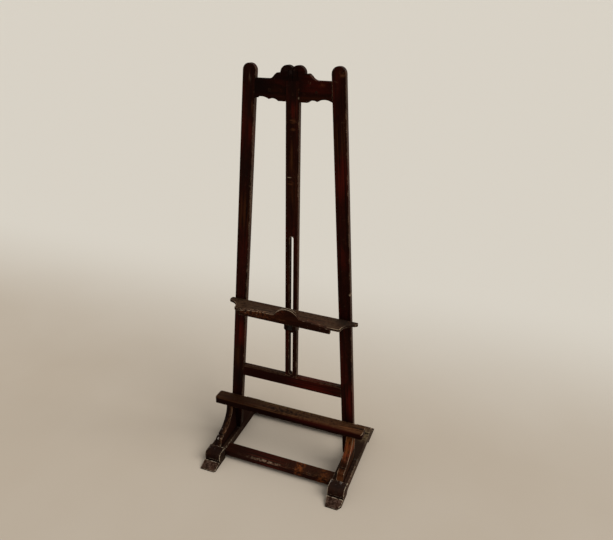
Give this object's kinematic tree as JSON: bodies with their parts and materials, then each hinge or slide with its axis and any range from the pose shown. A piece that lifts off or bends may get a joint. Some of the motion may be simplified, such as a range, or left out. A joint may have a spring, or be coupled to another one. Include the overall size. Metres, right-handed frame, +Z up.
{
  "type": "floor display easel",
  "caption": "Leaning H-frame floor easel with a carved crest, runner feet, scrolled braces, a fixed lower ledge and a lipped shelf that slides on a slotted centre post.",
  "frame": {"origin": "on the floor, midway between the two feet and midway along them", "axes": "+X to the viewer's right, +Y behind the easel, +Z up"},
  "size_m": [0.603, 0.45, 1.4453],
  "materials": {
    "dark_wood": "aged dark stain, half gloss, rubbed at the edges",
    "base_wood": "dusty, scuffed dark stain",
    "worn_wood": "stain worn to brown on the upper faces",
    "peg_wood": "plain hardwood",
    "iron": "dark oiled iron",
    "plated_steel": "dull plated steel"
  },
  "bodies": {
    "frame": {"left_upright": "dark_wood", "right_upright": "dark_wood", "centre_post": "dark_wood", "crest_rail": "dark_wood", "lower_rail": "dark_wood", "lower_ledge": "worn_wood", "left_foot": "base_wood", "right_foot": "base_wood", "front_stretcher": "base_wood", "rear_stretcher": "base_wood", "left_brace": "base_wood", "right_brace": "base_wood", "crest_plugs": "peg_wood", "crest_pegs": "peg_wood", "rail_pegs": "peg_wood", "post_pegs": "peg_wood", "upright_foot_pegs": "peg_wood", "stretcher_pegs": "peg_wood", "brace_dowels": "peg_wood", "brace_screws": "iron", "ledge_screws": "iron"},
    "shelf": {"shelf_board": "worn_wood", "shelf_lip": "worn_wood", "shelf_block": "worn_wood", "slot_key": "peg_wood", "shelf_screws": "iron", "lip_brads": "iron", "clamp_bolt": "iron"},
    "clamp_plate": {"clamp_plate": "peg_wood", "clamp_washer": "plated_steel"},
    "wing_nut": {"wing_nut": "plated_steel"}
  },
  "joints": [
    {"name": "shelf_slide", "type": "slide", "parent": "frame", "child": "shelf", "axis": [0, 0.061, 0.9981], "range_m": [-0.168, 0.311]},
    {"name": "clamp_release", "type": "slide", "parent": "shelf", "child": "clamp_plate", "axis": [0, 0.9981, -0.061], "range_m": [0, 0.0025]},
    {"name": "wing_nut_turn", "type": "hinge", "parent": "clamp_plate", "child": "wing_nut", "pos_m": [0, 0.06519, 0.54953], "axis": [0, 0.9981, -0.061], "range_deg": [0, 720]}
  ],
  "couplings": [
    {"joint": "clamp_release", "follows": "wing_nut_turn", "m_per_rad": 0.00019894}
  ]
}
